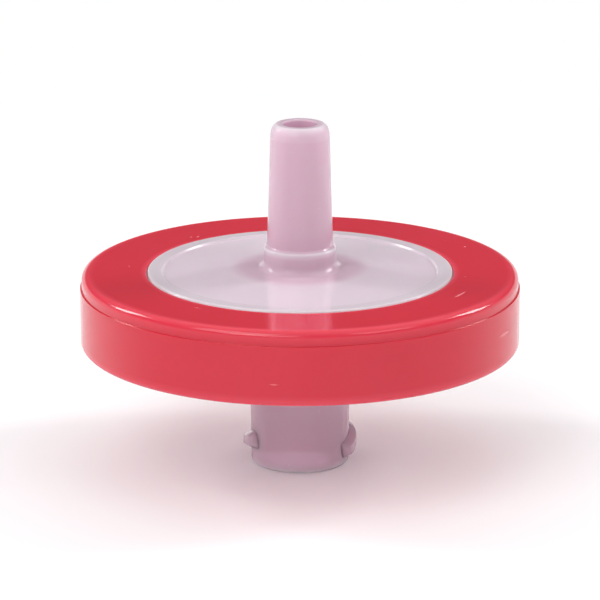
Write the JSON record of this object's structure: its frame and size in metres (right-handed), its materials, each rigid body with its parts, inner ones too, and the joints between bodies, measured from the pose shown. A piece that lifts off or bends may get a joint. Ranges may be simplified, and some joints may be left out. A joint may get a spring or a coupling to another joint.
{
  "type": "syringe filter",
  "caption": "Round disposable syringe filter: a membrane clamped between moulded discs inside an overmoulded ring, with a lugged female luer hub below and a tapered male luer nozzle above.",
  "frame": {"origin": "centre of the inlet hub's end face, on which the filter stands", "axes": "+Z along the filter's axis, out of the male luer nozzle; +X through the middle of one lock lug"},
  "size_m": [0.03, 0.03, 0.0238],
  "materials": {
    "natural_plastic": "milky undyed polypropylene, satin gloss",
    "membrane": "matte white porous membrane",
    "red_plastic": "glossy red polypropylene, slightly translucent"
  },
  "bodies": {
    "root": {"inlet_housing": "natural_plastic", "outlet_housing": "natural_plastic", "membrane": "membrane", "overmould_ring": "red_plastic"}
  },
  "joints": []
}
